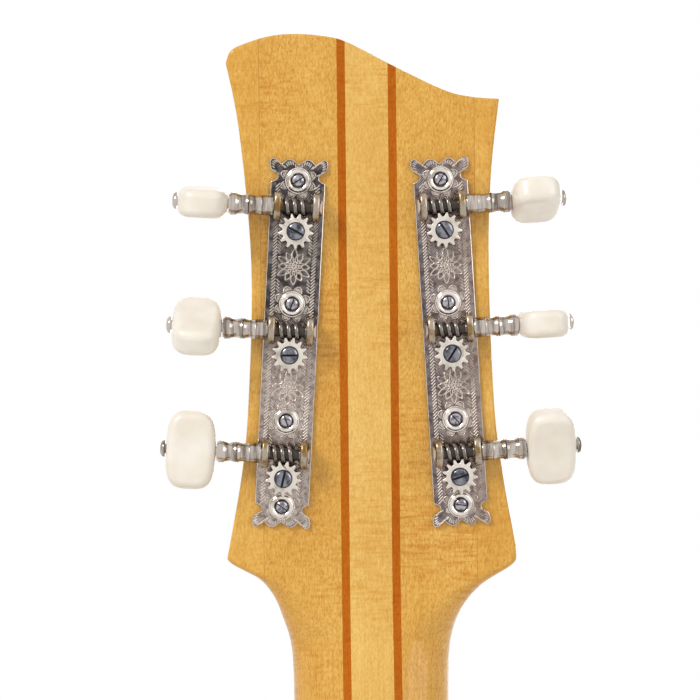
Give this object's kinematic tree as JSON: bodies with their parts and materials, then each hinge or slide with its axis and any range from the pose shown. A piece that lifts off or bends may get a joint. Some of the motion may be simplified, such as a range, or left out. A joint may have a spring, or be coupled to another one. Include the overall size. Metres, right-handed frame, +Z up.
{
  "type": "guitar",
  "caption": "Arched-top guitar with a laminated maple neck, open worm-gear tuners on engraved plates, f-holes, a floating bridge and a trapeze tailpiece.",
  "frame": {"origin": "the shoulders of the head where a hanger's yoke carries it, in the plane of the neck's fingerboard glue line", "axes": "+Z up along the neck towards the head, +X to the bass side, -Y out of the guitar's back"},
  "size_m": [0.42, 0.1417, 1.0353],
  "materials": {
    "blued_steel": "blued",
    "bone": "satin",
    "bronze": "wound wire",
    "ebony": "satin",
    "gear_nickel": "nickel plate",
    "ivoroid": "gloss",
    "mahogany": "gloss lacquer",
    "maple": "gloss lacquer",
    "maple_centre": "gloss lacquer",
    "nickel": "engraved nickel plate",
    "spruce": "gloss lacquer",
    "steel": "drawn wire",
    "tortoise": "gloss"
  },
  "bodies": {
    "guitar": {"back_plate": "maple", "bridge_base": "ebony", "end_block": "maple", "end_pin": "ivoroid", "fingerboard": "ebony", "head_veneer": "maple", "neck_block": "maple", "neck_core": "maple_centre", "neck_stripe_bass": "mahogany", "neck_stripe_treble": "mahogany", "neck_wing_bass": "maple", "neck_wing_treble": "maple", "nut": "bone", "pickguard": "tortoise", "pickguard_bracket": "nickel", "rib_bass": "maple", "rib_treble": "maple", "string_1": "steel", "string_2": "steel", "string_3": "bronze", "string_4": "bronze", "string_5": "bronze", "string_6": "bronze", "tailpiece": "nickel", "top_plate": "spruce", "tuner_plate_bass": "nickel", "tuner_plate_treble": "nickel"},
    "key_3": {"worm_shaft_3": "nickel", "button_3": "ivoroid"},
    "post_3": {"string_post_3": "nickel", "gear_3": "gear_nickel", "gear_screw_3": "blued_steel"},
    "key_2": {"worm_shaft_2": "nickel", "button_2": "ivoroid"},
    "post_2": {"string_post_2": "nickel", "gear_2": "gear_nickel", "gear_screw_2": "blued_steel"},
    "key_1": {"worm_shaft_1": "nickel", "button_1": "ivoroid"},
    "post_1": {"string_post_1": "nickel", "gear_1": "gear_nickel", "gear_screw_1": "blued_steel"},
    "key_4": {"worm_shaft_4": "nickel", "button_4": "ivoroid"},
    "post_4": {"string_post_4": "nickel", "gear_4": "gear_nickel", "gear_screw_4": "blued_steel"},
    "key_5": {"worm_shaft_5": "nickel", "button_5": "ivoroid"},
    "post_5": {"string_post_5": "nickel", "gear_5": "gear_nickel", "gear_screw_5": "blued_steel"},
    "key_6": {"worm_shaft_6": "nickel", "button_6": "ivoroid"},
    "post_6": {"string_post_6": "nickel", "gear_6": "gear_nickel", "gear_screw_6": "blued_steel"},
    "saddle": {"bridge_saddle": "ebony"},
    "wheel_treble": {"thumbwheel_treble": "nickel"},
    "wheel_bass": {"thumbwheel_bass": "nickel"}
  },
  "joints": [
    {"name": "key_3_turn", "type": "hinge", "parent": "guitar", "child": "key_3", "pos_m": [-0.02008, -0.04345, 0.10267], "axis": [-0.9981, -0.0132, 0.0596], "continuous": true},
    {"name": "post_3_turn", "type": "hinge", "parent": "guitar", "child": "post_3", "pos_m": [-0.0205, -0.04079, 0.09621], "axis": [0, -0.9763, -0.2164], "continuous": true},
    {"name": "key_2_turn", "type": "hinge", "parent": "guitar", "child": "key_2", "pos_m": [-0.02221, -0.03589, 0.06857], "axis": [-0.9981, -0.0132, 0.0596], "continuous": true},
    {"name": "post_2_turn", "type": "hinge", "parent": "guitar", "child": "post_2", "pos_m": [-0.02264, -0.03322, 0.0621], "axis": [0, -0.9763, -0.2164], "continuous": true},
    {"name": "key_1_turn", "type": "hinge", "parent": "guitar", "child": "key_1", "pos_m": [-0.02435, -0.02833, 0.03446], "axis": [-0.9981, -0.0132, 0.0596], "continuous": true},
    {"name": "post_1_turn", "type": "hinge", "parent": "guitar", "child": "post_1", "pos_m": [-0.02477, -0.02566, 0.02799], "axis": [0, -0.9763, -0.2164], "continuous": true},
    {"name": "key_4_turn", "type": "hinge", "parent": "guitar", "child": "key_4", "pos_m": [0.02113, -0.04345, 0.10268], "axis": [0.9985, -0.0117, 0.0528], "continuous": true},
    {"name": "post_4_turn", "type": "hinge", "parent": "guitar", "child": "post_4", "pos_m": [0.0215, -0.04079, 0.09621], "axis": [0, -0.9763, -0.2164], "continuous": true},
    {"name": "key_5_turn", "type": "hinge", "parent": "guitar", "child": "key_5", "pos_m": [0.02302, -0.03589, 0.06856], "axis": [0.9985, -0.0117, 0.0528], "continuous": true},
    {"name": "post_5_turn", "type": "hinge", "parent": "guitar", "child": "post_5", "pos_m": [0.02339, -0.03322, 0.06209], "axis": [0, -0.9763, -0.2164], "continuous": true},
    {"name": "key_6_turn", "type": "hinge", "parent": "guitar", "child": "key_6", "pos_m": [0.02491, -0.02832, 0.03443], "axis": [0.9985, -0.0117, 0.0528], "continuous": true},
    {"name": "post_6_turn", "type": "hinge", "parent": "guitar", "child": "post_6", "pos_m": [0.02529, -0.02566, 0.02797], "axis": [0, -0.9763, -0.2164], "continuous": true},
    {"name": "saddle_lower", "type": "slide", "parent": "guitar", "child": "saddle", "axis": [0, 0.9981, -0.061], "range_m": [-0.0016, 0]},
    {"name": "wheel_treble_turn", "type": "hinge", "parent": "saddle", "child": "wheel_treble", "pos_m": [-0.038, -0.00434, -0.65927], "axis": [0, 0.9981, -0.061], "range_deg": [-720, 0]},
    {"name": "wheel_bass_turn", "type": "hinge", "parent": "saddle", "child": "wheel_bass", "pos_m": [0.038, -0.00434, -0.65927], "axis": [0, 0.9981, -0.061], "range_deg": [-720, 0]}
  ],
  "couplings": [
    {"joint": "post_3_turn", "follows": "key_3_turn", "ratio": -0.076923},
    {"joint": "post_2_turn", "follows": "key_2_turn", "ratio": -0.076923},
    {"joint": "post_1_turn", "follows": "key_1_turn", "ratio": -0.076923},
    {"joint": "post_4_turn", "follows": "key_4_turn", "ratio": 0.076923},
    {"joint": "post_5_turn", "follows": "key_5_turn", "ratio": 0.076923},
    {"joint": "post_6_turn", "follows": "key_6_turn", "ratio": 0.076923},
    {"joint": "wheel_bass_turn", "follows": "wheel_treble_turn", "ratio": 1},
    {"joint": "saddle_lower", "follows": "wheel_treble_turn", "m_per_rad": 0.00012732}
  ]
}
